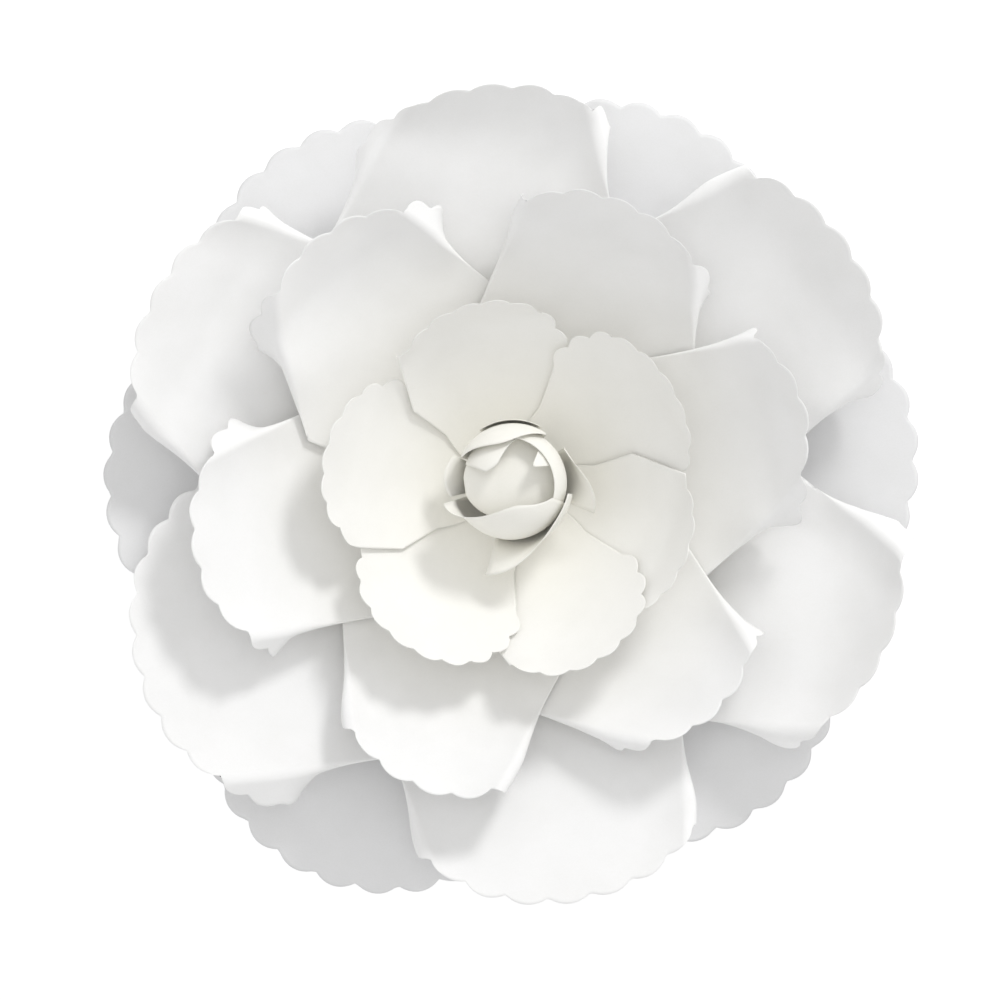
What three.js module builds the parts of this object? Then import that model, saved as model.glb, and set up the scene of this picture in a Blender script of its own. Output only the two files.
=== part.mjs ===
// Giant paper flower: four rings of six scalloped petals and a rose bud, glued to a round card.
//
// Frame: the flower lies on its back with its face up. The origin is the centre of the card's
// rear face, +Z points out of the face, +Y to the top of the flower as it hangs. Millimetres.
//
// Every petal is one sheet cut flat: its sides are folded back about straight lines, its tip is
// curled about another, and the sheet is then bent up and gently cupped about the flower's axis,
// so that the six petals of a ring nest in a spiral without touching.
import * as THREE from 'three';

const PAPER = 0.3; // thickness of the petal paper
const CARD = { radius: 55, thickness: 1.2 };
const DEGREE = Math.PI / 180;

// Flat patterns: a scalloped circle on a neck. From the rim angle shoulder the sides run straight
// to the waist, half angle waist about the flower's axis, where the petal is bent up.
const LARGE = {
  length: 250, radius: 120, scallops: 17, scallopDepth: 5, scallopedTo: 112, shoulder: 140, waist: 50,
};
const MEDIUM = {
  length: 205, radius: 90, scallops: 13, scallopDepth: 5, scallopedTo: 108, shoulder: 140, waist: 40,
};
const SMALL = {
  length: 141, radius: 57, scallops: 11, scallopDepth: 4, scallopedTo: 112, shoulder: 118, waist: 36,
};
const NECK_HALF_ANGLE = 56; // half the angle that a neck's end takes of its ring

// Mesh density: segments per scallop, along the neck's rows, and across and along the blade.
const SCALLOP_STEPS = 3;
const NECK_ROWS = [6, 6, 8, 8, 10];
const FOLD_ROWS = 5; // rows of the blade beside the folds
const BLADE_COLUMNS = 8;
const FOLD_STEPS = 3;
const FLAP_STEPS = 1;
const CHEEK_ROWS = 2; // rows of the blade between the waist and the feet of the folds

// Rings, from the back. z is the mid height of the necks, flat the radius where the paper starts
// to rise, rise its slope after the bend, cup how much steeper the blade gets towards its tip, and
// twist how far each petal leans round the spiral. crossing is the distance from the axis, on the
// paper, where the side folds of neighbours meet.
const RINGS = {
  back: {
    pattern: LARGE, neck: 8, z: 3.4, flat: 45, bend: 50, rise: 6, cup: 3, twist: 3.5,
    crossing: 190, foldRadius: 6, tipRadius: 120,
  },
  large: {
    pattern: LARGE, neck: 18, z: 6, flat: 43, bend: 50, rise: 15, cup: 16, twist: 3.5,
    crossing: 190, foldRadius: 6, tipRadius: 90,
  },
  medium: {
    pattern: MEDIUM, neck: 14, z: 8.6, flat: 36, bend: 45, rise: 25, cup: 17, twist: 4,
    crossing: 145, foldRadius: 5, tipRadius: 80,
  },
  small: {
    pattern: SMALL, neck: 9, z: 11.2, flat: 20, bend: 35, rise: 35, cup: 18, twist: 5,
    crossing: 118, foldRadius: 4, tipRadius: 60,
  },
};
const SPIRAL_STEP = 0.95; // rise of a petal's neck per radian round the spiral, in mm

// Petals of each ring. at: direction of the petal, anticlockwise from +X. out: how much further
// out than the ring's neck it is glued. left and right are side folds, each a straight line from
// one rim angle to another, measured round the pattern's circle from its tip, and how far the
// paper turns back. tip is where the end starts to curl and how far it curls forward.
const PETALS = {
  back: [
    { at: 65, tip: [190, 3] },
    { at: 125, tip: [185, -5] },
    { at: 178, tip: [190, 6] },
    { at: 240, tip: [200, -4], out: 18 },
    { at: 310, tip: [190, -6] },
    { at: 7, tip: [190, 4] },
  ],
  large: [
    { at: 37, tip: [197, 14], left: [33, 122, 100], right: [36, 124, 70], out: 10 },
    { at: 93, tip: [206, 38], left: [24, 94, 75], right: [27, 128, 80], out: 3 },
    { at: 151, tip: [195, 8], left: [30, 110, 95], right: [33, 126, 80], out: 3 },
    { at: 216, tip: [200, 4], left: [16, 108, 65], out: 12 },
    { at: 278, tip: [200, 4], left: [38, 126, 95], right: [40, 112, 90], out: 8 },
    { at: 339, tip: [188, 26], left: [22, 126, 85], right: [36, 112, 80], out: 11 },
  ],
  medium: [
    { at: 14, tip: [150, 12], left: [33, 134, 80], right: [24, 104, 50], out: -1 },
    { at: 69, tip: [152, 14], left: [36, 134, 110], right: [32, 106, 60], out: 3 },
    { at: 129, tip: [152, 12], left: [25, 109, 60], right: [35, 120, 50], out: 11 },
    { at: 191, tip: [160, 6], left: [42, 132, 60], right: [34, 116, 50], out: 11 },
    { at: 255, tip: [160, 6], left: [26, 130, 100], right: [34, 106, 95], out: 3 },
    { at: 311, tip: [155, 8], left: [30, 132, 75], right: [22, 98, 90], out: -4 },
  ],
  small: [
    { at: 34, tip: [107, 12], out: 3 },
    { at: 104, tip: [107, 12], left: [58, 116, 60] },
    { at: 171, tip: [105, 6], left: [66, 116, 60] },
    { at: 234, tip: [105, 5] },
    { at: 292, tip: [105, 5], right: [48, 110, 50], out: 3 },
    { at: 338, tip: [107, 10], left: [58, 116, 110], right: [60, 116, 40] },
  ],
};
const UNFOLDED = [46, 116, 0];
// Up to where neighbours cross, a fold is pressed flat under its petal; it opens over the next
// stretch of paper.
const TUCK = { radius: 0.7, by: 179, opens: 45 };

// Rose bud: petals round a ball that is stretched below its middle down to its base. Angles in
// degrees: at is a petal's direction, half its half width, rim how far up the ball it reaches from
// the foot, drop how much lower its rim is at its sides, lean where along the rim its peak is.
// level counts sheets out from the core. over makes a petal bend over the top. open is where it
// leaves the ball to flare out. peel makes only its clockwise side flare, the more sharply the
// higher it is. sunk flattens the top of the petal that bends over, inside its taller neighbours.
const BUD = {
  y: 4, z: 51, radius: 30, spacing: 2.4, stretch: 1.3, sunk: 0.45, base: 14.5, spiral: 0.7, flare: 24,
};
const BUD_PETALS = {
  bud_core_1: { at: 98, half: 78, level: 0, rim: 232, drop: 10, over: true },
  bud_core_2: { at: 118, half: 42, level: 0.5, rim: 153, drop: 20, lean: -0.4 },
  bud_core_3: { at: 36, half: 15, level: 0.8, rim: 150, drop: 26 },
  bud_inner_petal_1: { at: 26, half: 60, level: 1.5, rim: 131, drop: 6 },
  bud_inner_petal_2: { at: 104, half: 50, level: 2.5, rim: 137, drop: 34 },
  bud_inner_petal_3: {
    at: 268, half: 70, level: 2.5, rim: 155, drop: 34, lean: -0.15, open: 82, peel: 9,
  },
  bud_outer_petal_1: { at: 301, half: 47, level: 3.7, rim: 115, drop: 2, open: 68, peel: 3 },
  bud_outer_petal_2: { at: 6, half: 27, level: 3.7, rim: 103, drop: 4, open: 62, peel: 2 },
  bud_outer_petal_3: { at: 175, half: 19, level: 1.5, rim: 92, drop: 6, open: 62 },
  bud_outer_petal_4: { at: 92, half: 30, level: 3.4, rim: 100, drop: 8, open: 92 },
};
const BUD_FACET = 14; // degrees of the ball that one facet spans
const FLARE_STEPS = 8;
const white = new THREE.MeshStandardMaterial({ color: '#f6f4ee', roughness: 0.85 });
const board = new THREE.MeshStandardMaterial({ color: '#efece2', roughness: 0.9 });

function smoothstep(low, high, value) {
  const t = Math.min(Math.max((value - low) / (high - low), 0), 1);
  return t * t * (3 - 2 * t);
}

function mix(a, b, share) {
  return { x: a.x + share * (b.x - a.x), y: a.y + share * (b.y - a.y) };
}

// Evenly spaced numbers between two ends.
function steps(from, to, segments) {
  return Array.from({ length: segments + 1 }, (_, i) => from + ((to - from) * i) / segments);
}

// The scalloped circle of a pattern at an angle round it from the tip, clockwise positive. Flat
// points are measured from the middle of the neck's end, x to the petal's right, y to its tip.
function rimPoint({ length, radius, scallops, scallopDepth, scallopedTo }, angle) {
  const pitch = (2 * scallopedTo * DEGREE) / scallops;
  const place = (angle + scallopedTo * DEGREE) / pitch;
  const across = 2 * (place - Math.floor(place)) - 1;
  const crest = place > 0 && place < scallops ? 1 - across * across : 0;
  const reach = radius - scallopDepth * (1 - crest);
  return { x: reach * Math.sin(angle), y: length - radius + reach * Math.cos(angle) };
}

// Everything about a petal's flat pattern that its mesh and its surface need. Its outline runs
// from the tip at 0 round the circle to the shoulder, then straight to the waist at 180 degrees.
function layout(petal, ring) {
  const { pattern } = ring;
  const neck = ring.neck + (petal.out ?? 0);
  const bendEnd = ring.flat + ring.bend;
  const onCircle = (across, distance) => {
    const share = (distance - neck) / (bendEnd - neck);
    const half = NECK_HALF_ANGLE + share * (pattern.waist - NECK_HALF_ANGLE);
    const angle = across * half * DEGREE;
    return { x: distance * Math.sin(angle), y: distance * Math.cos(angle) - neck };
  };
  const outline = (angle) => {
    const size = Math.abs(angle) / DEGREE;
    if (size <= pattern.shoulder) return rimPoint(pattern, angle);
    const side = Math.sign(angle);
    const share = (size - pattern.shoulder) / (180 - pattern.shoulder);
    return mix(rimPoint(pattern, side * pattern.shoulder * DEGREE), onCircle(side, bendEnd), share);
  };
  const flat = { neck, bendEnd, onCircle, outline, step: rimStep(pattern) };
  return {
    ...flat,
    left: foldLine(ring, flat, -1, petal.left ?? UNFOLDED),
    right: foldLine(ring, flat, 1, petal.right ?? UNFOLDED),
    tip: petal.tip,
  };
}

// The rim angle between two mesh points, a whole fraction of a scallop.
function rimStep({ scallops, scallopedTo }) {
  return (2 * scallopedTo * DEGREE) / scallops / SCALLOP_STEPS;
}

// The outline between two rim angles, with a mesh point at every step.
function outlineRun({ outline, step }, from, to) {
  const low = Math.min(from, to);
  const high = Math.max(from, to);
  const phase = SCALLOP_STEPS % 2 === 0 ? 0 : 0.5;
  const inside = [];
  for (let i = Math.ceil(low / step - phase + 0.2); (i + phase) * step < high - 0.2 * step; i += 1) {
    inside.push((i + phase) * step);
  }
  if (to < from) inside.reverse();
  return [from, ...inside, to]
    .map((angle) => ({ ...outline(angle), run: (angle - from) / (to - from) }));
}

// A side fold in the flat pattern: its line, which way is outward, and how it turns the paper back
// at each share of its length from its lower end.
function foldLine(ring, { neck, outline }, side, [upper, lower, by]) {
  const top = outline(side * upper * DEGREE);
  const foot = outline(side * lower * DEGREE);
  const length = Math.hypot(top.x - foot.x, top.y - foot.y);
  const along = { x: (top.x - foot.x) / length, y: (top.y - foot.y) / length };
  const outward = { x: side * along.y, y: -side * along.x };
  const turn = (share) => {
    const base = mix(foot, top, share);
    const distance = Math.hypot(base.x, base.y + neck);
    const open = by === 0 ? 1 : smoothstep(ring.crossing, ring.crossing + TUCK.opens, distance);
    return {
      angle: (TUCK.by + (by - TUCK.by) * open) * DEGREE,
      radius: TUCK.radius + (ring.foldRadius - TUCK.radius) * open,
    };
  };
  const ends = { upper: upper * DEGREE, lower: lower * DEGREE };
  return { ...ends, top, foot, length, along, outward, turn, side };
}

// Rows of the petal between its folds, from the neck to the tip, each from left to right. Up to
// the end of the bend they follow circles about the flower's axis, so that the facets of
// neighbouring petals lie alike and keep their distance.
function middleRows(ring, plan) {
  const { neck, bendEnd, onCircle, outline, left, right } = plan;
  const necks = [neck, ...steps(Math.max(ring.flat, neck + 2), bendEnd, 3)].map((distance, i) =>
    steps(-1, 1, NECK_ROWS[i]).map((run) => ({ ...onCircle(run, distance), run })));
  const cheek = CHEEK_ROWS / (CHEEK_ROWS + FOLD_ROWS);
  const sideAt = (fold, share) => (share < cheek
    ? outline(fold.side * (Math.PI + (share / cheek) * (fold.lower - Math.PI)))
    : mix(fold.foot, fold.top, (share - cheek) / (1 - cheek)));
  const row = (share) => steps(-1, 1, BLADE_COLUMNS).map((run) => {
    const across = (1 + run) / 2;
    const angle = -left.upper + across * (right.upper + left.upper);
    const middle = mix(onCircle(run, bendEnd), outline(angle), share);
    const chordL = mix(onCircle(-1, bendEnd), left.top, share);
    const chordR = mix(onCircle(1, bendEnd), right.top, share);
    const sideL = sideAt(left, share);
    const sideR = sideAt(right, share);
    return {
      x: middle.x + (1 - across) * (sideL.x - chordL.x) + across * (sideR.x - chordR.x),
      y: middle.y + (1 - across) * (sideL.y - chordL.y) + across * (sideR.y - chordR.y),
      run,
    };
  });
  const rim = outlineRun(plan, -left.upper, right.upper)
    .map((point) => ({ ...point, run: 2 * point.run - 1 }));
  return [...necks, ...steps(0, 1, CHEEK_ROWS + FOLD_ROWS).slice(1, -1).map(row), rim];
}

// Lines of the flap beyond a fold, from the fold to the rim.
function flapLines(plan, { foot, top, lower, upper, side, outward, turn }) {
  const rimAt = (share) => plan.outline(side * (lower + share * (upper - lower)));
  const beyond = (share, part) => {
    const base = mix(foot, top, share);
    const rim = rimAt(share);
    const { radius, angle } = turn(share);
    const room = 0.75 * Math.hypot(rim.x - base.x, rim.y - base.y);
    const width = part * Math.min(Math.max(radius * angle, 2), room);
    return { x: base.x + width * outward.x, y: base.y + width * outward.y, run: share };
  };
  const shares = steps(0, 1, FOLD_ROWS);
  const lines = [
    ...steps(0, 1, FOLD_STEPS).map((part) => shares.map((share) => beyond(share, part))),
    ...steps(0, 1, FLAP_STEPS).slice(1, -1).map((part) =>
      shares.map((share) => ({ ...mix(beyond(share, 1), rimAt(share), part), run: share }))),
    outlineRun(plan, side * lower, side * upper),
  ];
  return side < 0 ? lines : lines.map((line) => line.slice().reverse()
    .map((point) => ({ ...point, run: 1 - point.run })));
}

// Bends a sheet about a straight line: what lies beyond it wraps a cylinder, then runs straight.
// forward is +1 to bend it towards the front and -1 towards the back.
function bend(point, beyond, outward, radius, most, forward) {
  if (beyond <= 0 || most === 0) return point;
  const angle = Math.min(beyond / radius, most);
  const straight = beyond - radius * angle;
  const sine = Math.sin(angle);
  const cosine = Math.cos(angle);
  const shift = radius * sine + straight * cosine - forward * point.w * sine - beyond;
  return {
    x: point.x + shift * outward.x,
    y: point.y + shift * outward.y,
    w: forward * (radius * (1 - cosine) + straight * sine) + point.w * cosine,
  };
}

// A petal's sheet after its sides and its tip are bent, still measured from its own neck.
function bendSheet(flat, { left, right, tip }, ring) {
  let point = { x: flat.x, y: flat.y, w: 0 };
  for (const { foot, length, along, outward, turn } of [left, right]) {
    const dx = flat.x - foot.x;
    const dy = flat.y - foot.y;
    const { radius, angle } = turn((dx * along.x + dy * along.y) / length);
    point = bend(point, dx * outward.x + dy * outward.y, outward, radius, angle, -1);
  }
  const [from, by] = tip;
  const most = Math.abs(by) * DEGREE;
  return bend(point, point.y - from, { x: 0, y: 1 }, ring.tipRadius, most, Math.sign(by));
}

// Carries a point of a ring's profile on along an arc that turns by so many degrees per length.
function alongArc(from, beyond, length, by) {
  const arc = length / (by * DEGREE);
  const slope = from.slope + Math.max(beyond, 0) / arc;
  return {
    radius: from.radius + arc * (Math.sin(slope) - Math.sin(from.slope)),
    height: from.height + arc * (Math.cos(from.slope) - Math.cos(slope)),
    slope,
  };
}

// Radius, height and slope of a ring's petals at a distance from the axis measured on the paper:
// flat, then the bend, then the gentler cup of the blade.
function profile(ring, distance) {
  const { flat, bend: length, rise, cup, pattern } = ring;
  const level = { radius: Math.min(distance, flat), height: 0, slope: 0 };
  const bent = alongArc(level, Math.min(distance - flat, length), length, rise);
  return alongArc(bent, distance - flat - length, pattern.length - flat - length, cup);
}

// Lays a rolled sheet in its ring and returns the point in the flower's frame.
function layInRing(point, petal, ring) {
  const y = point.y + ring.neck + (petal.out ?? 0);
  const distance = Math.hypot(point.x, y);
  const { radius, height, slope } = profile(ring, distance);
  const clockwise = (Math.atan2(point.x, y) * distance) / radius;
  const past = Math.max(0, radius - ring.flat - ring.bend / 2);
  const lean = SPIRAL_STEP + Math.tan(ring.twist * DEGREE) * past;
  const angle = petal.at * DEGREE - clockwise;
  const reach = radius - point.w * Math.sin(slope);
  return new THREE.Vector3(
    reach * Math.cos(angle),
    reach * Math.sin(angle),
    ring.z + height - clockwise * lean + point.w * Math.cos(slope),
  );
}

// The petal's surface: from a point of its flat pattern to its place in the flower.
function petalSurface(petal, ring) {
  const plan = layout(petal, ring);
  return (flat) => layInRing(bendSheet(flat, plan, ring), petal, ring);
}

// The unit normal of a surface at a flat point, by differences across it.
function normalOf(surface, flat) {
  const step = 0.05;
  const along = (dx, dy) => surface({ x: flat.x + dx, y: flat.y + dy });
  const acrossX = along(step, 0).sub(along(-step, 0));
  const acrossY = along(0, step).sub(along(0, -step));
  return acrossX.cross(acrossY).normalize();
}

// Triangles between two lines of points that run the same way but may differ in number.
function strip(a, b) {
  const faces = [];
  let i = 0;
  let j = 0;
  while (i < a.length - 1 || j < b.length - 1) {
    const nextA = i < a.length - 1 ? (a[i + 1].run + a[i].run) / 2 : Infinity;
    const nextB = j < b.length - 1 ? (b[j + 1].run + b[j].run) / 2 : Infinity;
    if (nextA < nextB) {
      faces.push([a[i], a[i + 1], b[j]]);
      i += 1;
    } else {
      faces.push([a[i], b[j + 1], b[j]]);
      j += 1;
    }
  }
  return faces;
}

// A closed sheet of paper from panels of lines: the surface moved half a thickness to each side,
// and its cut edge.
function paperSheet(panels, surface) {
  const flat = [];
  const places = new Map();
  const indexOf = (point) => {
    const key = `${point.x.toFixed(3)},${point.y.toFixed(3)}`;
    if (!places.has(key)) {
      places.set(key, flat.length);
      flat.push(point);
    }
    return places.get(key);
  };
  const front = panels
    .flatMap((lines) => lines.slice(1).flatMap((line, i) => strip(lines[i], line)))
    .map((face) => face.map(indexOf))
    .filter(([a, b, c]) => a !== b && b !== c && c !== a);
  const count = flat.length;
  const positions = [PAPER / 2, -PAPER / 2].flatMap((offset) => flat.flatMap((point) =>
    surface(point).addScaledVector(normalOf(surface, point), offset).toArray()));
  const edges = new Set(front.flatMap(([a, b, c]) => [`${a},${b}`, `${b},${c}`, `${c},${a}`]));
  const cut = [...edges].map((edge) => edge.split(',').map(Number))
    .filter(([from, to]) => !edges.has(`${to},${from}`));
  const faces = [
    ...front,
    ...front.map(([a, b, c]) => [a + count, c + count, b + count]),
    ...cut.flatMap(([from, to]) => [[from, from + count, to + count], [from, to + count, to]]),
  ];
  const geometry = new THREE.BufferGeometry();
  geometry.setAttribute('position', new THREE.Float32BufferAttribute(positions, 3));
  geometry.setIndex(faces.flat());
  geometry.computeVertexNormals();
  return geometry;
}

function named(name, geometry, material) {
  const mesh = new THREE.Mesh(geometry, material);
  mesh.name = name;
  return mesh;
}

function backingCard() {
  const disc = new THREE.CylinderGeometry(CARD.radius, CARD.radius, CARD.thickness, 48);
  const mesh = named('backing_card', disc, board);
  mesh.rotation.x = Math.PI / 2;
  mesh.position.z = CARD.thickness / 2;
  return mesh;
}

function ringOfPetals(name) {
  const ring = RINGS[name];
  const group = new THREE.Group();
  PETALS[name].forEach((petal, i) => {
    const plan = layout(petal, ring);
    const panels = [middleRows(ring, plan), flapLines(plan, plan.left), flapLines(plan, plan.right)];
    const sheet = paperSheet(panels, petalSurface(petal, ring));
    group.add(named(`${name}_petal_${i + 1}`, sheet, white));
  });
  return group;
}

function budRadius({ level }) {
  return BUD.radius + level * BUD.spacing;
}

// Rows of flat points of a bud petal, x and y in mm along the wall of its ball.
function budRows(petal) {
  const { half, rim, drop, lean = 0 } = petal;
  const radius = budRadius(petal);
  const foot = Math.acos((BUD.z - BUD.base) / (radius * BUD.stretch)) / DEGREE;
  const mm = DEGREE * radius;
  const ups = steps(0, 1, Math.ceil((rim - foot) / BUD_FACET));
  const acrosses = steps(-1, 1, Math.ceil((2 * half) / BUD_FACET));
  return ups.map((share) => acrosses.map((across) => {
    const up = foot + share * (rim - drop * (across - lean) ** 2 - foot);
    return { run: across, x: across * half * mm, y: up * mm };
  }));
}

// Radius, height and heading of the bud's wall at a distance up it from the ball's foot.
function budWall(petal, distance, azimuth) {
  const radius = budRadius(petal);
  const onBall = Math.min(distance, (petal.open ?? 180) * DEGREE * radius);
  let heading = onBall / radius;
  let reach = radius * Math.sin(heading);
  let height = -radius * Math.cos(heading);
  const share = petal.peel ? (0.5 + azimuth / (2 * petal.half * DEGREE)) ** petal.peel : 1;
  const curvature = (1 - share) / radius - share / BUD.flare;
  const step = (distance - onBall) / FLARE_STEPS;
  for (let i = 0; i < FLARE_STEPS; i += 1) {
    const middle = heading + (curvature * step) / 2;
    reach += Math.cos(middle) * step;
    height += Math.sin(middle) * step;
    heading += curvature * step;
  }
  return { reach, height, heading };
}

// Where a bud petal's wall is, forward along its direction, to its right and above the ball's
// centre: round the ball's upright axis, or over its top.
function onBud(petal, { x, y }) {
  const radius = budRadius(petal);
  const azimuth = x / radius;
  if (petal.over) {
    const level = radius * Math.cos(azimuth);
    const up = -level * Math.cos(y / radius);
    return {
      forward: level * Math.sin(y / radius),
      right: radius * Math.sin(azimuth),
      up: up > 0 ? BUD.sunk * up : up,
    };
  }
  const { reach, height, heading } = budWall(petal, y, azimuth);
  const offset = BUD.spiral * azimuth;
  const out = reach + offset * Math.sin(heading);
  return {
    forward: out * Math.cos(azimuth),
    right: out * Math.sin(azimuth),
    up: height - offset * Math.cos(heading),
  };
}

// The bud petal's surface, from its flat x and y to its place in the flower.
function budSurface(petal) {
  const cosine = Math.cos(petal.at * DEGREE);
  const sine = Math.sin(petal.at * DEGREE);
  return (flat) => {
    const { forward, right, up } = onBud(petal, flat);
    return new THREE.Vector3(
      forward * cosine + right * sine,
      BUD.y + forward * sine - right * cosine,
      BUD.z + (up < 0 ? up * BUD.stretch : up),
    );
  };
}

function roseBud() {
  const group = new THREE.Group();
  for (const [name, petal] of Object.entries(BUD_PETALS)) {
    group.add(named(name, paperSheet([budRows(petal)], budSurface(petal)), white));
  }
  return group;
}

const flower = new THREE.Group();
flower.add(backingCard());
flower.add(roseBud());
for (const name of Object.keys(RINGS)) flower.add(ringOfPetals(name));

export default flower;
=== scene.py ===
"""Looks of the giant paper flower: every petal as a fine bent sheet of paper, and its studio.

The petals follow the same rules as the CAD parts: a flat scalloped pattern is folded back along
its sides, curled at its tip, and bent up and cupped about the flower's axis. Sizes of petals are
in millimetres until a mesh is made, and those of materials and the studio in metres. The angles
in the tables are in degrees.
"""
import math

import bmesh
import bpy
import numpy as np
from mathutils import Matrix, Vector


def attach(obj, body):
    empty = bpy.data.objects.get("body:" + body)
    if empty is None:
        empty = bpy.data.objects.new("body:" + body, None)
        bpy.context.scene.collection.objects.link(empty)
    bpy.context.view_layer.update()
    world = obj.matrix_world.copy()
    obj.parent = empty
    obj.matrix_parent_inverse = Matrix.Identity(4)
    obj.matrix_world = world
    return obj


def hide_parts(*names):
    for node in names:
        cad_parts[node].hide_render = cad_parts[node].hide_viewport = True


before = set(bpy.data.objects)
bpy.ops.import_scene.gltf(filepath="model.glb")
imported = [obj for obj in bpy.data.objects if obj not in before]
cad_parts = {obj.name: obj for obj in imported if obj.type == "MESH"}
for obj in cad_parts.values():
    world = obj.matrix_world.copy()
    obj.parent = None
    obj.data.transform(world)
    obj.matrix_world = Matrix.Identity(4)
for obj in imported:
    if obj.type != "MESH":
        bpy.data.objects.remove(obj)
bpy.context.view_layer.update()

MM = 0.001
PAPER = 0.3  # thickness of the petal paper
WELD = 0.02  # points of a sheet closer than this are one

# Flat patterns: a circle with a scalloped far side on a neck that narrows to the middle. From the
# rim angle shoulder the sides run straight to the waist, a half angle about the flower's axis.
LARGE = {
    "length": 250, "radius": 120, "scallops": 17, "depth": 5, "scalloped_to": 112,
    "shoulder": 140, "waist": 50,
}
MEDIUM = {
    "length": 205, "radius": 90, "scallops": 13, "depth": 5, "scalloped_to": 108,
    "shoulder": 140, "waist": 40,
}
SMALL = {
    "length": 141, "radius": 57, "scallops": 11, "depth": 4, "scalloped_to": 112,
    "shoulder": 118, "waist": 36,
}
NECK_HALF_ANGLE = 56  # half the angle that a neck's end takes of its ring

# Rings from the back, as in the CAD. neck is where the necks end, z their height and flat the
# radius where the paper starts to rise. rise is its slope after the bend, cup how much steeper the
# blade gets towards its tip, and twist how far each petal leans round the spiral. crossing is
# where the side folds of neighbours meet. The last two are how tightly folds and tips turn.
RINGS = {
    "back": {
        "pattern": LARGE, "neck": 8, "z": 3.4, "flat": 45, "bend": 50, "rise": 6, "cup": 3,
        "twist": 3.5, "crossing": 190, "fold_radius": 6, "tip_radius": 120,
    },
    "large": {
        "pattern": LARGE, "neck": 18, "z": 6, "flat": 43, "bend": 50, "rise": 15, "cup": 16,
        "twist": 3.5, "crossing": 190, "fold_radius": 6, "tip_radius": 90,
    },
    "medium": {
        "pattern": MEDIUM, "neck": 14, "z": 8.6, "flat": 36, "bend": 45, "rise": 25, "cup": 17,
        "twist": 4, "crossing": 145, "fold_radius": 5, "tip_radius": 80,
    },
    "small": {
        "pattern": SMALL, "neck": 9, "z": 11.2, "flat": 20, "bend": 35, "rise": 35, "cup": 18,
        "twist": 5, "crossing": 118, "fold_radius": 4, "tip_radius": 60,
    },
}
SPIRAL_STEP = 0.95  # rise of a petal's neck per radian round the spiral
UNFOLDED = (46, 116, 0)

# Up to where neighbours cross, a fold is pressed flat under its petal; it opens over the next
# stretch of paper.
TUCK = {"radius": 0.7, "by": 179, "opens": 45}

# What the CAD leaves out: the slight waves of hand-formed paper, and the cheek beside each side
# fold, which turns forward before the fold turns it back. A petal's waves have lengths in a range,
# the longest are the highest, and they fade in between two shares of the crossing distance.
RIPPLES = 5
RIPPLE_LENGTHS = (45, 130)
RIPPLE_HEIGHT = 0.45
RIPPLE_FADE = (0.7, 1.1)
CHEEK = {"width": 28, "radius": 85, "by": 24}

# Petals of each ring. at: direction, anticlockwise from +X. left and right: a side fold from one
# rim angle to another, and how far it turns back. tip: where the end curls, and by how much.
# out: how much further out than the ring's neck the petal is glued.
PETALS = {
    "back": [
        {"at": 65, "tip": (190, 3)},
        {"at": 125, "tip": (185, -5)},
        {"at": 178, "tip": (190, 6)},
        {"at": 240, "tip": (200, -4), "out": 18},
        {"at": 310, "tip": (190, -6)},
        {"at": 7, "tip": (190, 4)},
    ],
    "large": [
        {"at": 37, "tip": (197, 14), "left": (33, 122, 100), "right": (36, 124, 70), "out": 10},
        {"at": 93, "tip": (206, 38), "left": (24, 94, 75), "right": (27, 128, 80), "out": 3},
        {"at": 151, "tip": (195, 8), "left": (30, 110, 95), "right": (33, 126, 80), "out": 3},
        {"at": 216, "tip": (200, 4), "left": (16, 108, 65), "out": 12},
        {"at": 278, "tip": (200, 4), "left": (38, 126, 95), "right": (40, 112, 90), "out": 8},
        {"at": 339, "tip": (188, 26), "left": (22, 126, 85), "right": (36, 112, 80), "out": 11},
    ],
    "medium": [
        {"at": 14, "tip": (150, 12), "left": (33, 134, 80), "right": (24, 104, 50), "out": -1},
        {"at": 69, "tip": (152, 14), "left": (36, 134, 110), "right": (32, 106, 60), "out": 3},
        {"at": 129, "tip": (152, 12), "left": (25, 109, 60), "right": (35, 120, 50), "out": 11},
        {"at": 191, "tip": (160, 6), "left": (42, 132, 60), "right": (34, 116, 50), "out": 11},
        {"at": 255, "tip": (160, 6), "left": (26, 130, 100), "right": (34, 106, 95), "out": 3},
        {"at": 311, "tip": (155, 8), "left": (30, 132, 75), "right": (22, 98, 90), "out": -4},
    ],
    "small": [
        {"at": 34, "tip": (107, 12), "out": 3},
        {"at": 104, "tip": (107, 12), "left": (58, 116, 60)},
        {"at": 171, "tip": (105, 6), "left": (66, 116, 60)},
        {"at": 234, "tip": (105, 5)},
        {"at": 292, "tip": (105, 5), "right": (48, 110, 50), "out": 3},
        {"at": 338, "tip": (107, 10), "left": (58, 116, 110), "right": (60, 116, 40)},
    ],
}

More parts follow.
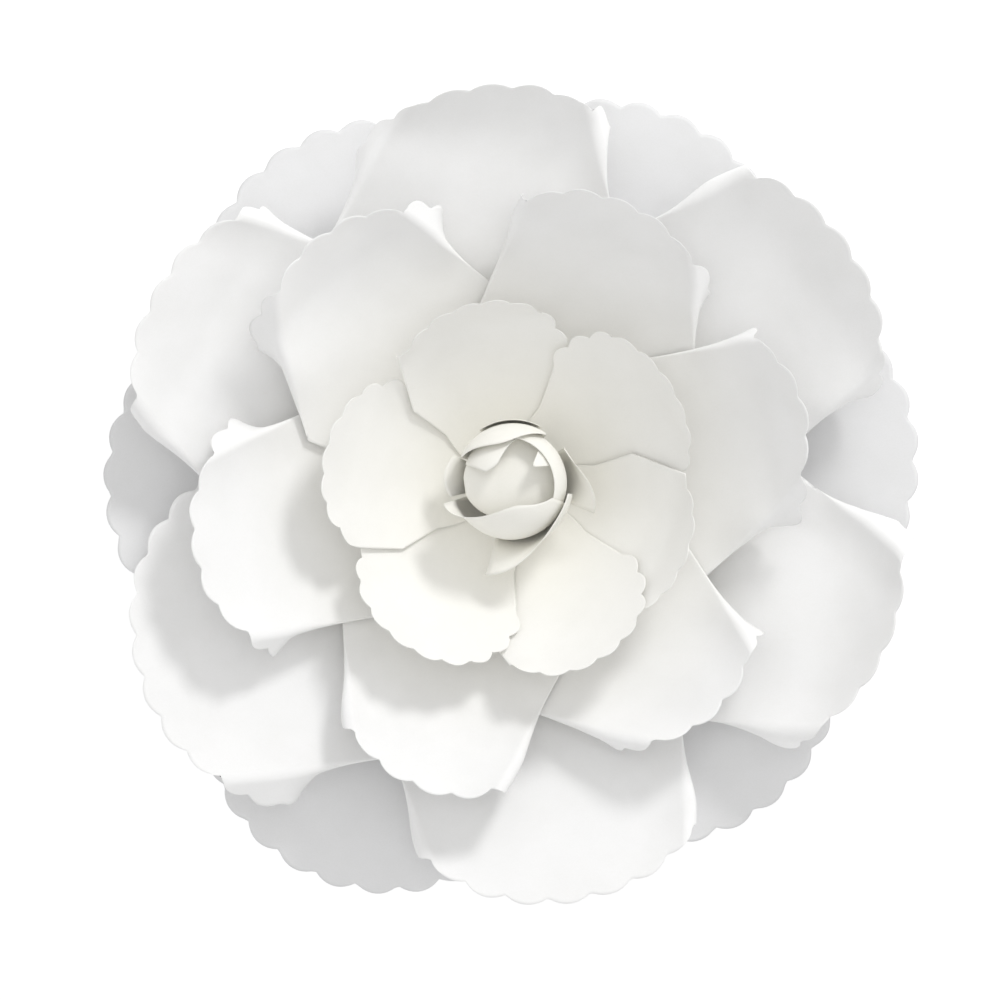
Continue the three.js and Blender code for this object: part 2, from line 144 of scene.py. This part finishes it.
# Rose bud: petals on the wall of a ball at y and z, stretched below its middle down to base. level
# counts sheets out from the core, spacing apart, half is a petal's half width round the ball, rim
# how far up the wall it reaches, drop how much lower its sides are, lean where along the rim its
# peak is and open where it leaves the ball to flare out, round an arc of radius flare. peel makes
# only its clockwise side flare. spiral is how far a sheet moves out per radian round the ball, and
# over bends a petal over the top, which sunk flattens.
BUD = {
    "y": 4, "z": 51, "radius": 30, "spacing": 2.4, "stretch": 1.3, "sunk": 0.45,
    "base": 14.5, "spiral": 0.7, "flare": 24,
}
BUD_PETALS = {
    "bud_core_1": {"at": 98, "half": 78, "level": 0, "rim": 232, "drop": 10, "over": True},
    "bud_core_2": {"at": 118, "half": 42, "level": 0.5, "rim": 153, "drop": 20, "lean": -0.4},
    "bud_core_3": {"at": 36, "half": 15, "level": 0.8, "rim": 150, "drop": 26},
    "bud_inner_petal_1": {"at": 26, "half": 60, "level": 1.5, "rim": 131, "drop": 6},
    "bud_inner_petal_2": {"at": 104, "half": 50, "level": 2.5, "rim": 137, "drop": 34},
    "bud_inner_petal_3": {
        "at": 268, "half": 70, "level": 2.5, "rim": 155, "drop": 34, "lean": -0.15,
        "open": 82, "peel": 9,
    },
    "bud_outer_petal_1": {
        "at": 301, "half": 47, "level": 3.7, "rim": 115, "drop": 2, "open": 68, "peel": 3,
    },
    "bud_outer_petal_2": {
        "at": 6, "half": 27, "level": 3.7, "rim": 103, "drop": 4, "open": 62, "peel": 2,
    },
    "bud_outer_petal_3": {"at": 175, "half": 19, "level": 1.5, "rim": 92, "drop": 6, "open": 62},
    "bud_outer_petal_4": {"at": 92, "half": 30, "level": 3.4, "rim": 100, "drop": 8, "open": 92},
}

# Colours of the papers, linear. Towards the middle of the flower the paper is painted creamier, as
# warm bounce light between the cupped petals, and the back petals are painted a little greyer, as
# shade.
WHITE_TONE = (0.93, 0.928, 0.925, 1)
# painted warm bounce light: the cream of the paper towards the middle and of the whole bud
CREAM_BOUNCE_TONE = (0.93, 0.918, 0.865, 1)
# painted shade: the back petals' paper is greyer, as the shade of the petals over them
PAINTED_SHADE_BACK_TONE = (0.83, 0.83, 0.835, 1)
CARD_TONE = (0.84, 0.81, 0.74, 1)

# Distances from the flower's axis, in metres, between which the painted warm bounce light of the
# middle fades out.
MIDDLE_REACH = (0.03, 0.17)

# Mesh density: rows along a petal's neck, beside its cheeks and beside its folds, columns between
# the folds, lines across a fold and across the flap beyond it, and degrees per facet of the bud.
NECK_ROWS, CHEEK_ROWS, FOLD_ROWS, COLUMNS = 16, 10, 50, 66
FOLD_LINES, FLAP_LINES = 8, 8
BUD_FACET = 4
FLARE_STEPS = 12  # steps along the flared part of a bud petal
FOLD_ROOM = 0.75  # most of a flap's width that its bend may take


def smoothstep(low, high, value):
    """0 below low and 1 above high, with a smooth rise between them."""
    t = np.clip((value - low) / (high - low), 0, 1)
    return t * t * (3 - 2 * t)


def rim_point(pattern, angle):
    """The pattern's outline at an angle in radians round its circle from the tip."""
    pitch = math.radians(2 * pattern["scalloped_to"]) / pattern["scallops"]
    place = (angle + math.radians(pattern["scalloped_to"])) / pitch
    across = 2 * (place - np.floor(place)) - 1
    scalloped = (place > 0) & (place < pattern["scallops"])
    crest = np.where(scalloped, 1 - across**2, 0)
    reach = pattern["radius"] - pattern["depth"] * (1 - crest)
    centre = pattern["length"] - pattern["radius"]
    return np.stack([reach * np.sin(angle), centre + reach * np.cos(angle)], axis=-1)


class Fold:
    """A side fold: its line in the flat pattern and how far it turns the paper back."""

    def __init__(self, petal, side, upper, lower, by):
        self.ring = petal.ring
        self.neck = petal.neck
        self.outline = petal.outline
        self.side = side
        self.upper = math.radians(upper)
        self.lower = math.radians(lower)
        self.by = by
        self.folded = by > 0
        self.top = petal.outline(side * self.upper)
        self.foot = petal.outline(side * self.lower)
        self.length = math.dist(self.top, self.foot)
        self.along = (self.top - self.foot) / self.length
        self.outward = side * np.array([self.along[1], -self.along[0]])

    def opened(self, share):
        """How far the fold is open, from 0 where neighbours cross to 1 near the rim."""
        base = self.at(share)
        distance = np.hypot(base[..., 0], base[..., 1] + self.neck)
        crossing = self.ring["crossing"]
        return smoothstep(crossing, crossing + TUCK["opens"], distance)

    def turn(self, share):
        """Bend radius and angle at shares of the fold's length from its lower end."""
        opened = self.opened(share)
        radius = TUCK["radius"] + (self.ring["fold_radius"] - TUCK["radius"]) * opened
        open_by = self.by + CHEEK["by"]
        return radius, np.radians(TUCK["by"] + (open_by - TUCK["by"]) * opened) * self.folded

    def lift(self, share):
        """How far the cheek beside the fold turns forward before the fold turns it back."""
        return np.radians(CHEEK["by"] * self.opened(share)) * self.folded

    def at(self, share):
        """Points on the fold's line, flat."""
        return self.foot + share[..., None] * (self.top - self.foot)

    def rim(self, share):
        """Points on the cut edge beside the fold, flat."""
        return self.outline(self.side * (self.lower + share * (self.upper - self.lower)))


class Petal:
    """A petal's flat layout and the surface that takes it to its place in the flower."""

    def __init__(self, seed, ring, at, tip, left=UNFOLDED, right=UNFOLDED, out=0):
        random = np.random.default_rng(seed)
        shortest, longest = RIPPLE_LENGTHS
        lows, highs = (0, shortest, 0), (math.tau, longest, math.tau)
        self.waves = random.uniform(lows, highs, (RIPPLES, 3))
        self.ring = ring
        self.at = math.radians(at)
        self.tip_from, self.tip_by = tip
        self.neck = ring["neck"] + out
        self.bend_end = ring["flat"] + ring["bend"]
        self.left = Fold(self, -1, *left)
        self.right = Fold(self, 1, *right)

    def on_circle(self, run, distance):
        """Flat points on a circle about the flower's axis, run from -1 at the left edge to 1."""
        share = (distance - self.neck) / (self.bend_end - self.neck)
        half = NECK_HALF_ANGLE + share * (self.ring["pattern"]["waist"] - NECK_HALF_ANGLE)
        angle = run * np.radians(half)
        y = distance * np.cos(angle) - self.neck
        return np.stack([distance * np.sin(angle), y], axis=-1)

    def outline(self, angle):
        """The cut edge: round the circle to the shoulder, then straight to the waist at 180."""
        angle = np.asarray(angle, dtype=float)
        pattern = self.ring["pattern"]
        shoulder = math.radians(pattern["shoulder"])
        side = np.sign(angle)
        share = np.clip((np.abs(angle) - shoulder) / (math.pi - shoulder), 0, 1)[..., None]
        corner = rim_point(pattern, side * shoulder)
        neck_side = corner + share * (self.on_circle(side, self.bend_end) - corner)
        return np.where(share > 0, neck_side, rim_point(pattern, angle))

    def neck_grid(self, runs):
        """Rows from the neck's end to the end of the bend, closer together in the bend."""
        start = max(self.ring["flat"], self.neck + 2)
        bent = np.linspace(start, self.bend_end, NECK_ROWS)
        distances = np.concatenate([[self.neck], bent])
        return self.on_circle(runs[None, :], distances[:, None])

    def side_point(self, fold, share, cheek):
        """The left or right end of the blade's rows: up the cheek, then along the fold."""
        on_cheek = np.clip(share / cheek, 0, 1)
        angle = fold.side * (math.pi + on_cheek * (fold.lower - math.pi))
        along = np.clip((share - cheek) / (1 - cheek), 0, 1)
        return np.where((share < cheek)[..., None], self.outline(angle), fold.at(along))

    def blade_grid(self, runs):
        """Rows between the two folds, from the end of the bend out to the rim."""
        left, right = self.left, self.right
        cheek = CHEEK_ROWS / (CHEEK_ROWS + FOLD_ROWS)
        share = np.linspace(0, 1, CHEEK_ROWS + FOLD_ROWS + 1)[:, None]
        run = runs[None, :]
        across = (1 + run[..., None]) / 2
        angle = -left.upper + (run + 1) / 2 * (right.upper + left.upper)
        rim = self.outline(angle)
        start = self.on_circle(run, self.bend_end)
        middle = start + share[..., None] * (rim - start)
        for fold, edge, weight in ((left, -1.0, 1 - across), (right, 1.0, across)):
            corner = self.on_circle(edge, self.bend_end)
            chord = corner + share[..., None] * (fold.top - corner)
            middle = middle + weight * (self.side_point(fold, share, cheek) - chord)
        return middle

    def flap_grid(self, fold):
        """Lines from a fold out to the rim, each from the fold's foot to its top."""
        share = np.linspace(0, 1, FOLD_ROWS + 1)
        base = fold.at(share)
        rim = fold.rim(share)
        radius, angle = fold.turn(share)
        room = FOLD_ROOM * np.linalg.norm(rim - base, axis=-1)
        width = np.minimum(np.maximum(radius * angle, 2), room)[:, None]
        crease = base + width * fold.outward
        bent = [base + part * (crease - base) for part in np.linspace(0, 1, FOLD_LINES + 1)]
        flat = [crease + part * (rim - crease) for part in np.linspace(0, 1, FLAP_LINES + 1)[1:]]
        lines = np.array(bent + flat)
        return lines if fold.side < 0 else lines[:, ::-1]

    def ripple(self, flat):
        """Height of the slight waves left in hand-formed paper, none where neighbours touch."""
        distance = np.hypot(flat[..., 0], flat[..., 1] + self.neck)
        height = 0
        for heading, length, start in self.waves:
            along = flat[..., 0] * math.cos(heading) + flat[..., 1] * math.sin(heading)
            strength = length / RIPPLE_LENGTHS[1]
            height = height + strength * np.sin(math.tau * along / length + start)
        fade_from, fade_to = (share * self.ring["crossing"] for share in RIPPLE_FADE)
        return RIPPLE_HEIGHT * height * smoothstep(fade_from, fade_to, distance)

    def bent(self, flat):
        """Flat points after the sides are folded back and the tip is curled."""
        point = np.concatenate([flat, self.ripple(flat)[..., None]], axis=-1)
        for fold in (self.left, self.right):
            offset = flat - fold.foot
            share = offset @ fold.along / fold.length
            radius, angle = fold.turn(share)
            point = bend(point, offset @ fold.outward, fold.outward, radius, angle, -1)
            beyond = (point[..., :2] - fold.foot) @ fold.outward + CHEEK["width"]
            point = bend(point, beyond, fold.outward, CHEEK["radius"], fold.lift(share), 1)
        past = point[..., 1] - self.tip_from
        most = abs(math.radians(self.tip_by))
        forward = math.copysign(1, self.tip_by)
        return bend(point, past, np.array([0, 1]), self.ring["tip_radius"], most, forward)

    def surface(self, flat):
        """Flat points bent and laid in the ring, in the flower's frame."""
        ring = self.ring
        point = self.bent(flat)
        x, y, w = point[..., 0], point[..., 1] + self.neck, point[..., 2]
        distance = np.hypot(x, y)
        radius, height, slope = profile(ring, distance)
        clockwise = np.arctan2(x, y) * distance / radius
        past = np.maximum(0, radius - ring["flat"] - ring["bend"] / 2)
        lean = SPIRAL_STEP + math.tan(math.radians(ring["twist"])) * past
        angle = self.at - clockwise
        reach = radius - w * np.sin(slope)
        z = ring["z"] + height - clockwise * lean + w * np.cos(slope)
        return np.stack([reach * np.cos(angle), reach * np.sin(angle), z], axis=-1)

    def grids(self):
        """The whole flat petal as grids of points that share their edges."""
        runs = np.linspace(-1, 1, COLUMNS + 1)
        flat = [self.neck_grid(runs), self.blade_grid(runs)]
        flat += [self.flap_grid(self.left), self.flap_grid(self.right)]
        return flat


def bend(point, beyond, outward, radius, most, forward):
    """Wraps what lies beyond a straight line round a cylinder, then carries it straight on."""
    beyond = np.maximum(beyond, 0)
    angle = np.minimum(beyond / radius, most)
    straight = beyond - radius * angle
    w = point[..., 2]
    reach = radius * np.sin(angle) + straight * np.cos(angle) - forward * w * np.sin(angle)
    rise = forward * (radius * (1 - np.cos(angle)) + straight * np.sin(angle))
    across = point[..., :2] + (reach - beyond)[..., None] * outward
    return np.concatenate([across, (rise + w * np.cos(angle))[..., None]], axis=-1)


def along_arc(radius, height, slope, beyond, length, by):
    """Carries a profile on along an arc that turns by so many degrees per length."""
    arc = length / math.radians(by)
    end = slope + np.maximum(beyond, 0) / arc
    further = arc * (np.sin(end) - np.sin(slope))
    higher = arc * (np.cos(slope) - np.cos(end))
    return radius + further, height + higher, end


def profile(ring, distance):
    """Radius, height and slope of a ring's petals at distances from the axis along the paper."""
    flat, length = ring["flat"], ring["bend"]
    blade = ring["pattern"]["length"] - flat - length
    in_bend = np.minimum(distance - flat, length)
    bent = along_arc(np.minimum(distance, flat), 0, 0, in_bend, length, ring["rise"])
    return along_arc(*bent, distance - flat - length, blade, ring["cup"])


def bud_radius(petal):
    """Radius of the ball that a bud petal lies on."""
    return BUD["radius"] + petal["level"] * BUD["spacing"]


def bud_wall(petal, distance, azimuth):
    """Radius, height and heading of a bud petal's wall at a distance up it from the foot."""
    radius = bud_radius(petal)
    on_ball = np.minimum(distance, math.radians(petal.get("open", 180)) * radius)
    heading = on_ball / radius
    reach = radius * np.sin(heading)
    height = -radius * np.cos(heading)
    share = 1
    if petal.get("peel"):
        share = (0.5 + azimuth / math.radians(2 * petal["half"]))**petal["peel"]
    curvature = (1 - share) / radius - share / BUD["flare"]
    step = (distance - on_ball) / FLARE_STEPS
    for _ in range(FLARE_STEPS):
        middle = heading + curvature * step / 2
        reach = reach + np.cos(middle) * step
        height = height + np.sin(middle) * step
        heading = heading + curvature * step
    return reach, height, heading


def on_bud(petal, distance, azimuth):
    """Forward, right and up from the ball's centre, round its upright axis or over its top."""
    radius = bud_radius(petal)
    if petal.get("over"):
        level = radius * np.cos(azimuth)
        turned = distance / radius
        up = -level * np.cos(turned)
        up = np.where(up > 0, BUD["sunk"] * up, up)
        return level * np.sin(turned), radius * np.sin(azimuth), up
    reach, height, heading = bud_wall(petal, distance, azimuth)
    offset = BUD["spiral"] * azimuth
    out = reach + offset * np.sin(heading)
    return out * np.cos(azimuth), out * np.sin(azimuth), height - offset * np.cos(heading)


def bud_grid(petal):
    """Points of a bud petal in the flower's frame."""
    radius = bud_radius(petal)
    foot = math.degrees(math.acos((BUD["z"] - BUD["base"]) / (radius * BUD["stretch"])))
    columns = math.ceil(2 * petal["half"] / BUD_FACET)
    rows = math.ceil((petal["rim"] - foot) / BUD_FACET)
    across = np.linspace(-1, 1, columns + 1)[None, :]
    share = np.linspace(0, 1, rows + 1)[:, None]
    rim = petal["rim"] - petal["drop"] * (across - petal.get("lean", 0))**2
    distance = np.radians(foot + share * (rim - foot)) * radius
    azimuth = np.broadcast_to(np.radians(across * petal["half"]), distance.shape)
    forward, right, up = on_bud(petal, distance, azimuth)
    at = math.radians(petal["at"])
    x = forward * math.cos(at) + right * math.sin(at)
    y = BUD["y"] + forward * math.sin(at) - right * math.cos(at)
    z = BUD["z"] + np.where(up < 0, BUD["stretch"] * up, up)
    return np.stack([x, y, z], axis=-1)


def sheet(name, grids, material):
    """One thin sheet of paper from grids of points in mm, joined where they meet."""
    mesh = bpy.data.meshes.new(name)
    points, faces = [], []
    for grid in grids:
        rows, columns = grid.shape[:2]
        index = np.arange(rows * columns).reshape(rows, columns) + len(points)
        corners = [index[:-1, :-1], index[:-1, 1:], index[1:, 1:], index[1:, :-1]]
        points.extend((grid.reshape(-1, 3) * MM).tolist())
        faces.extend(np.stack(corners, axis=-1).reshape(-1, 4)[:, ::-1].tolist())
    mesh.from_pydata(points, [], faces)
    joined = bmesh.new()
    joined.from_mesh(mesh)
    bmesh.ops.remove_doubles(joined, verts=joined.verts, dist=WELD * MM)
    joined.to_mesh(mesh)
    joined.free()
    mesh.shade_smooth()
    mesh.materials.append(material)
    piece = bpy.data.objects.new(name, mesh)
    bpy.context.scene.collection.objects.link(piece)
    thickness = piece.modifiers.new("paper_thickness", "SOLIDIFY")
    thickness.thickness = PAPER * MM
    thickness.offset = 0
    return piece


def show(piece, node):
    """Puts a piece in the flower in place of its CAD node."""
    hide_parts(node)
    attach(piece, "root")


def principled(name, **values):
    """A new material and its shader, with constants set on the shader's sockets."""
    material = bpy.data.materials.new(name)
    material.use_nodes = True
    shader = material.node_tree.nodes["Principled BSDF"]
    for socket, value in values.items():
        shader.inputs[socket.replace("_", " ")].default_value = value
    return material, shader


class Nodes:
    """Short ways to add the nodes of one material."""

    def __init__(self, material):
        self.tree = material.node_tree
        self.place = self.add("ShaderNodeTexCoord").outputs["Object"]

    def add(self, kind, values=(), **links):
        node = self.tree.nodes.new(kind)
        for socket, value in dict(values).items():
            node.inputs[socket].default_value = value
        for socket, source in links.items():
            self.tree.links.new(source, node.inputs[socket])
        return node

    def noise(self, scale, detail, distortion=0.0):
        values = {"Scale": scale, "Detail": detail, "Distortion": distortion}
        return self.add("ShaderNodeTexNoise", values, Vector=self.place).outputs["Fac"]

    def blend(self, factor, low, high, start=0.0, end=1.0):
        """A colour ramp from low to high as factor goes from start to end."""
        ramp = self.add("ShaderNodeValToRGB", Fac=factor)
        for element, position, colour in zip(ramp.color_ramp.elements, (start, end), (low, high)):
            element.position = position
            element.color = colour
        return ramp.outputs["Color"]

    def multiply(self, first, second):
        mix = self.add("ShaderNodeMix")
        mix.data_type = "RGBA"
        mix.blend_type = "MULTIPLY"
        mix.inputs["Factor"].default_value = 1
        self.tree.links.new(first, mix.inputs["A"])
        self.tree.links.new(second, mix.inputs["B"])
        return mix.outputs["Result"]

    def bump(self, height, strength, distance, under=None):
        values = {"Strength": strength, "Distance": distance}
        links = {"Height": height} if under is None else {"Height": height, "Normal": under}
        return self.add("ShaderNodeBump", values, **links).outputs["Normal"]


def radius_from_axis(nodes):
    """Distance from the flower's axis, in metres."""
    flat = nodes.add("ShaderNodeVectorMath", {1: (1, 1, 0)})
    flat.operation = "MULTIPLY"
    nodes.tree.links.new(nodes.place, flat.inputs[0])
    length = nodes.add("ShaderNodeVectorMath")
    length.operation = "LENGTH"
    nodes.tree.links.new(flat.outputs["Vector"], length.inputs[0])
    return length.outputs["Value"]


def paper_material(name, tint, middle_bounce_tint):
    """Matt card with a fibre tooth, faint clouding and soft buckles, creamier in the middle as
    painted warm bounce light.

    Noise scales are features per metre, and a bump's distance is its height in metres.
    """
    material, shader = principled(name, Roughness=0.88)
    shader.inputs["Specular IOR Level"].default_value = 0.25
    nodes = Nodes(material)
    # painted warm bounce light: the middle tint fades to the paper's own tint away from the axis
    tone = nodes.blend(radius_from_axis(nodes), middle_bounce_tint, tint, *MIDDLE_REACH)
    clouds = nodes.blend(nodes.noise(26, 4), (0.975, 0.975, 0.972, 1), (1, 1, 1, 1), 0.35, 0.6)
    fibres = nodes.blend(nodes.noise(900, 3), (0.985, 0.985, 0.98, 1), (1, 1, 1, 1), 0.3, 0.6)
    colour = nodes.multiply(nodes.multiply(tone, clouds), fibres)
    buckle = nodes.bump(nodes.noise(22, 2, 0.4), 0.5, 0.0016)
    tooth = nodes.bump(nodes.noise(1500, 3), 0.35, 0.00012, under=buckle)
    nodes.tree.links.new(colour, shader.inputs["Base Color"])
    nodes.tree.links.new(tooth, shader.inputs["Normal"])
    return material


def make_petals(paper, back_paper_painted_shade):
    for layer, (name, petals) in enumerate(PETALS.items()):
        for number, values in enumerate(petals, 1):
            petal = Petal(10 * layer + number, RINGS[name], **values)
            grids = [petal.surface(flat) for flat in petal.grids()]
            node = f"{name}_petal_{number}"
            # the back petals get the greyer paper of painted shade
            chosen = back_paper_painted_shade if name == "back" else paper
            show(sheet(f"{node}_sheet", grids, chosen), node)


def make_bud(paper):
    for node, petal in BUD_PETALS.items():
        show(sheet(f"{node}_sheet", [bud_grid(petal)], paper), node)


def finish_card():
    """The CAD card stays and gets a board material."""
    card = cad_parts["backing_card"]
    card.data.materials.clear()
    card.data.materials.append(paper_material("card", CARD_TONE, CARD_TONE))


def make_floor():
    """A pale floor that gives off some light of its own, for a near-white background."""
    mesh = bpy.data.meshes.new("floor")
    half = 6
    corners = [(-half, -half, 0), (half, -half, 0), (half, half, 0), (-half, half, 0)]
    mesh.from_pydata(corners, [], [(0, 1, 2, 3)])
    material, shader = principled("floor", Base_Color=(0.4, 0.4, 0.4, 1), Roughness=1)
    shader.inputs["Emission Color"].default_value = (1, 1, 1, 1)
    shader.inputs["Emission Strength"].default_value = 0.7
    mesh.materials.append(material)
    floor = bpy.data.objects.new("floor", mesh)
    bpy.context.scene.collection.objects.link(floor)


def aim(thing, target):
    """Turns a lamp to face a point."""
    thing.rotation_euler = (Vector(target) - thing.location).to_track_quat("-Z", "Y").to_euler()


def area_light(name, location, size, power):
    """A round light aimed at the flower; power in watts."""
    light = bpy.data.lights.new(name, "AREA")
    light.shape = "DISK"
    light.size = size
    light.energy = power
    lamp = bpy.data.objects.new(name, light)
    lamp.location = location
    aim(lamp, (0, 0, 0.03))
    bpy.context.scene.collection.objects.link(lamp)


def light_studio():
    """An even room light, a key from the upper right and a weak, larger light in front."""
    world = bpy.data.worlds.new("studio")
    world.use_nodes = True
    world.node_tree.nodes["Background"].inputs["Color"].default_value = (1, 1, 1, 1)
    world.node_tree.nodes["Background"].inputs["Strength"].default_value = 0.74
    bpy.context.scene.world = world
    area_light("key", (0.8, 1.4, 1.2), 0.5, 14)
    area_light("front", (0.05, 0.1, 2.2), 1.2, 4)


def make_camera():
    """Straight above the flower's face."""
    camera = bpy.data.cameras.new("camera")
    camera.sensor_width = 36
    camera.lens = 148
    camera.shift_x = -0.012
    camera.shift_y = -0.012
    viewer = bpy.data.objects.new("camera", camera)
    viewer.location = (0, 0, 2.6)
    bpy.context.scene.collection.objects.link(viewer)
    bpy.context.scene.camera = viewer
    bpy.context.scene.view_settings.view_transform = "Standard"


make_petals(
    paper_material("white_paper", WHITE_TONE, CREAM_BOUNCE_TONE),
    # painted shade: the back petals' paper is greyer
    paper_material("back_paper_painted_shade", PAINTED_SHADE_BACK_TONE, PAINTED_SHADE_BACK_TONE),
)
# the bud's paper is painted cream all over, as warm bounce light deep in the flower
make_bud(paper_material("bud_paper", CREAM_BOUNCE_TONE, CREAM_BOUNCE_TONE))
finish_card()
make_floor()
light_studio()
make_camera()
